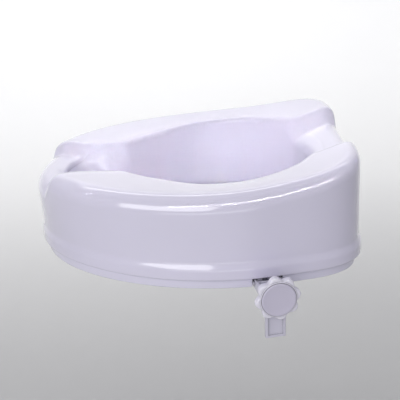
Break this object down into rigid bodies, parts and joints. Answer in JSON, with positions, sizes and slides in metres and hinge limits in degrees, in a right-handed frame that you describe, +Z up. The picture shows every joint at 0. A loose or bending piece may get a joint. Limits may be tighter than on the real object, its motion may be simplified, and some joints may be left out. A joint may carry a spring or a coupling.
{
  "type": "raised toilet seat",
  "caption": "Raised toilet seat: deep hollow egg-shaped plastic ring with dips front and rear, and a sliding screw clamp with a star knob on each side.",
  "frame": {"origin": "centre of the seat's plan, in the plane of the bottom edge of its lip", "axes": "+Z up, -Y to the front (the low end), +X to the left of a person who sits on it"},
  "size_m": [0.452, 0.4035, 0.1905],
  "materials": {
    "seat_plastic": "smooth high gloss",
    "base_plastic": "smooth gloss",
    "clamp_plastic": "satin",
    "knob_plastic": "satin",
    "cap_plastic": "fine satin",
    "grip_rubber": "matt",
    "steel": "zinc plated"
  },
  "bodies": {
    "seat": {"seat_shell": "seat_plastic", "base_frame": "base_plastic", "base_pads": "grip_rubber", "clamp_guide_left": "clamp_plastic", "clamp_guide_right": "clamp_plastic", "guide_screws_left": "steel", "guide_screws_right": "steel", "clamp_nut_left": "steel", "clamp_nut_right": "steel"},
    "bracket_left": {"clamp_bracket_left": "clamp_plastic", "leg_pad_left": "grip_rubber", "washer_left": "steel"},
    "knob_left": {"star_knob_left": "knob_plastic", "knob_cap_left": "cap_plastic", "clamp_bolt_left": "steel", "retaining_clip_left": "steel"},
    "bracket_right": {"clamp_bracket_right": "clamp_plastic", "leg_pad_right": "grip_rubber", "washer_right": "steel"},
    "knob_right": {"star_knob_right": "knob_plastic", "knob_cap_right": "cap_plastic", "clamp_bolt_right": "steel", "retaining_clip_right": "steel"}
  },
  "joints": [
    {"name": "arm_slide_left", "type": "slide", "parent": "seat", "child": "bracket_left", "axis": [0.9893, 0.1462, 0], "range_m": [-0.019, 0.004]},
    {"name": "knob_turn_left", "type": "hinge", "parent": "bracket_left", "child": "knob_left", "pos_m": [0.17418, 0.07571, 0.00425], "axis": [0.9893, 0.1462, 0], "range_deg": [-6845, 1445]},
    {"name": "arm_slide_right", "type": "slide", "parent": "seat", "child": "bracket_right", "axis": [-0.9893, 0.1462, 0], "range_m": [-0.019, 0.004]},
    {"name": "knob_turn_right", "type": "hinge", "parent": "bracket_right", "child": "knob_right", "pos_m": [-0.17418, 0.07571, 0.00425], "axis": [-0.9893, 0.1462, 0], "range_deg": [-6845, 1445]}
  ],
  "couplings": [
    {"joint": "knob_turn_left", "follows": "arm_slide_left", "rad_per_m": 6283.2},
    {"joint": "knob_turn_right", "follows": "arm_slide_right", "rad_per_m": 6283.2}
  ]
}
